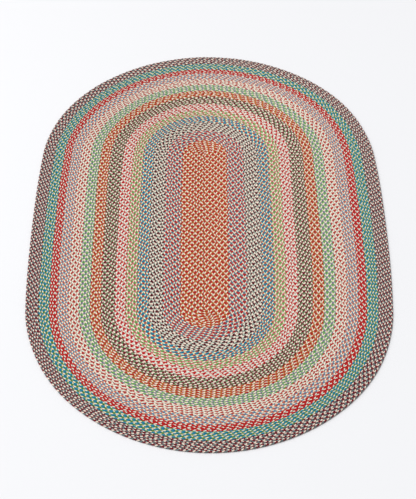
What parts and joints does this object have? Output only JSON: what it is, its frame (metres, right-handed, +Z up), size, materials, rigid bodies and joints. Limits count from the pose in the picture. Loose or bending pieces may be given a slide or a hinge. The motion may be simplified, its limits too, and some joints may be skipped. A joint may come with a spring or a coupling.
{
  "type": "oval braided rug",
  "caption": "Oval floor rug of flat braid, laid in rows round a straight core and laced edge to edge, with banded colours.",
  "frame": {"origin": "on the floor, under the middle of the rug", "axes": "+Z up out of the top face, +Y along the rug's length, +X across it"},
  "size_m": [1.524, 2.378, 0.0095],
  "materials": {
    "braided_yarn": "matt spun yarn in a three-strand braid, dyed in fourteen bands of mixed colours"
  },
  "bodies": {
    "root": {"braided_rug": "braided_yarn"}
  },
  "joints": []
}
